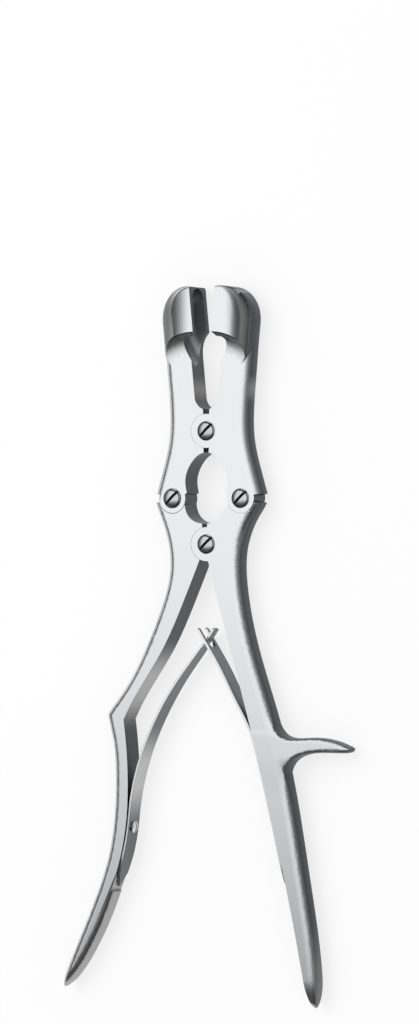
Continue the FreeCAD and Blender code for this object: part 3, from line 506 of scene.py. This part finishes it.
studio = {
    "floorSize": 6.0, "floorDrop": 0.0001, "floorGlow": 0.75, "skyLight": 0.72,
    "paper": (0.94, 0.94, 0.94, 1), "fibre": (0.96, 0.96, 0.96, 1), "white": (1, 1, 1, 1),
    "fibreScale": 60.0, "fibreDetail": 2.0,
    "keyPower": 6.0, "keySize": 0.9, "keyPlace": (-0.55, 0.35, 1.0),
}


def seenRays(finish):
    # 1 for rays from the camera or off something glossy or clear, 0 for all others
    seen = finish.add("ShaderNodeLightPath", output="Is Camera Ray")
    for kind in ("Is Glossy Ray", "Is Transmission Ray"):
        seen = seen.math("MAXIMUM", finish.add("ShaderNodeLightPath", output=kind))
    return seen


bpy.ops.mesh.primitive_plane_add(size=studio["floorSize"], location=(0, 0, -studio["floorDrop"]))
floor = bpy.context.object
floor.name = "floor"
paper = Finish(bpy.data.materials.new("paperFloor"))
fibre = paper.add("ShaderNodeTexNoise", None, {
    "Scale": studio["fibreScale"], "Detail": studio["fibreDetail"]})
shade = mixColour(paper, fibre, studio["paper"], studio["fibre"])
matt = paper.add("ShaderNodeBsdfDiffuse", None, {"Color": shade})
glow = paper.add("ShaderNodeEmission", None, {"Color": studio["white"], "Strength": 1.0})
lit = seenRays(paper) * studio["floorGlow"]
sheet = paper.add("ShaderNodeMixShader", None, {0: lit, 1: matt, 2: glow})
floor.data.materials.append(paper.surface(sheet))

sky = Finish(bpy.data.worlds.new("room"), "ShaderNodeOutputWorld")
strength = studio["skyLight"] + seenRays(sky) * (1 - studio["skyLight"])
backdrop = sky.add("ShaderNodeBackground", None, {"Color": studio["white"], "Strength": strength})
bpy.context.scene.world = sky.surface(backdrop)

keyLight = bpy.data.lights.new("key", "AREA")
keyLight.energy = studio["keyPower"]
keyLight.size = studio["keySize"]
key = bpy.data.objects.new("key", keyLight)
bpy.context.scene.collection.objects.link(key)
key.location = studio["keyPlace"]
key.rotation_euler = (-key.location).to_track_quat("-Z", "Y").to_euler()
key.visible_glossy = False

# A card leans from its foot, "away" from the middle, to its top edge, "over" from
# the middle, and fades out upwards

cards = {
    "rightCard": {"turn": 90, "away": 0.5, "over": 0.5, "width": 2.4, "high": 1.0,
                  "dark": 0.75, "fade": (0.0, 0.95)},
    "leftCard": {"turn": -90, "away": 0.5, "over": 0.5, "width": 2.4, "high": 0.6,
                 "dark": 0.90, "fade": (0.12, 0.55)},
    "nearCard": {"turn": 0, "away": 0.9, "over": 0.1, "width": 1.8, "high": 1.0,
                 "dark": 0.92, "fade": (0.55, 1.0)},
}
cardBlack = (0.01, 0.01, 0.01, 1)
for name, card in cards.items():
    lean = card["away"] - card["over"]
    bpy.ops.mesh.primitive_plane_add(size=1, location=(0, 0, 0))
    board = bpy.context.object
    board.name = name
    board.scale = (card["width"], math.hypot(lean, card["high"]), 1)
    board.rotation_euler = (math.atan2(card["high"], lean), 0, math.radians(card["turn"]))
    middle = Vector((0, -(card["away"] + card["over"]) / 2, card["high"] / 2))
    board.location = Matrix.Rotation(math.radians(card["turn"]), 3, "Z") @ middle
    bpy.ops.object.transform_apply(location=True, rotation=True, scale=True)
    cloth = Finish(bpy.data.materials.new(name + "Cloth"))
    place = cloth.add("ShaderNodeTexCoord", output="Object")
    up = cloth.add("ShaderNodeSeparateXYZ", None, {0: place}, output="Z")
    dark = card["dark"] * (1 - up.steps(*card["fade"]))
    black = cloth.add("ShaderNodeEmission", None, {"Color": cardBlack, "Strength": 1.0})
    clear = cloth.add("ShaderNodeBsdfTransparent")
    woven = cloth.add("ShaderNodeMixShader", None, {0: dark, 1: clear, 2: black})
    board.data.materials.append(cloth.surface(woven))
    board.visible_camera = False
    board.visible_diffuse = False
    board.visible_shadow = False


# The camera stands to the right of straight above, "azimuth" degrees from it

view = {
    "target": Vector((-0.00368, 0.01191, 0.0)), "distance": 1.45, "azimuth": 28.0,
    "lens": 136.5, "clip": 0.05,
}
lensEye = bpy.data.cameras.new("camera")
lensEye.lens = view["lens"]
lensEye.clip_start = view["clip"]
camera = bpy.data.objects.new("camera", lensEye)
bpy.context.scene.collection.objects.link(camera)
turn = math.radians(view["azimuth"])
camera.location = view["target"] + view["distance"] * Vector((math.sin(turn), 0, math.cos(turn)))
camera.rotation_euler = (0, turn, 0)
bpy.context.scene.camera = camera
bpy.context.scene.view_settings.view_transform = "Standard"
print("studio ready")
